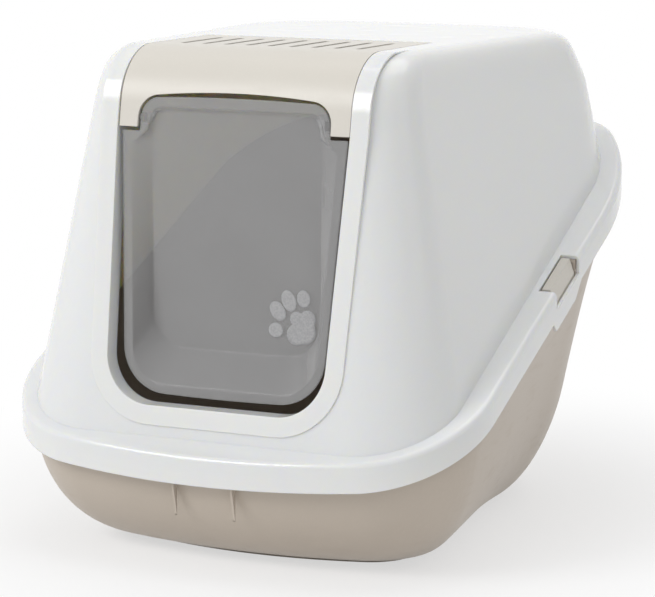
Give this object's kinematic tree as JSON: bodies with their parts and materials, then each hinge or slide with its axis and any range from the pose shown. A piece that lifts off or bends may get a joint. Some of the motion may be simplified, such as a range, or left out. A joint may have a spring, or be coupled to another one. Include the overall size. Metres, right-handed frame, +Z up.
{
  "type": "hooded litter tray",
  "caption": "Hooded pet litter tray: a deep tray with a slanted rim, a lift-off hood, a hinged vent panel with a filter, a clear swing flap and side catches.",
  "frame": {"origin": "on the floor, under the middle of the rim", "axes": "+X to the right, the doorway faces -Y, +Z up from the floor"},
  "size_m": [0.39, 0.51, 0.385],
  "materials": {
    "white_gloss": "glossy white moulded plastic",
    "warm_grey": "satin warm grey moulded plastic",
    "pale_beige": "satin pale beige moulded plastic",
    "smoky_clear": "smoky clear plastic",
    "charcoal_pad": "black carbon felt"
  },
  "bodies": {
    "tray": {"tray": "warm_grey"},
    "hood": {"hood": "white_gloss"},
    "front_panel": {"front_panel": "pale_beige", "filter_holder": "pale_beige", "filter_pad": "charcoal_pad"},
    "flap": {"flap": "smoky_clear"},
    "left_catch": {"left_catch": "warm_grey"},
    "right_catch": {"right_catch": "warm_grey"}
  },
  "joints": [
    {"name": "hood_lift", "type": "slide", "parent": "tray", "child": "hood", "axis": [0, 0, 1], "range_m": [0, 0.26]},
    {"name": "panel_hinge", "type": "hinge", "parent": "hood", "child": "front_panel", "pos_m": [0, -0.058, 0.3805], "axis": [-1, 0, 0], "range_deg": [0, 95]},
    {"name": "flap_swing", "type": "hinge", "parent": "front_panel", "child": "flap", "pos_m": [0, -0.19089, 0.33253], "axis": [1, 0, 0], "range_deg": [-60, 60]},
    {"name": "right_catch_press", "type": "hinge", "parent": "tray", "child": "right_catch", "pos_m": [0.189, -0.0133, 0.18813], "axis": [0, -0.9018, -0.4321], "range_deg": [0, 5], "stiffness_Nm_per_rad": 0.5},
    {"name": "left_catch_press", "type": "hinge", "parent": "tray", "child": "left_catch", "pos_m": [-0.189, -0.0133, 0.18813], "axis": [0, 0.9018, 0.4321], "range_deg": [0, 5], "stiffness_Nm_per_rad": 0.5}
  ]
}
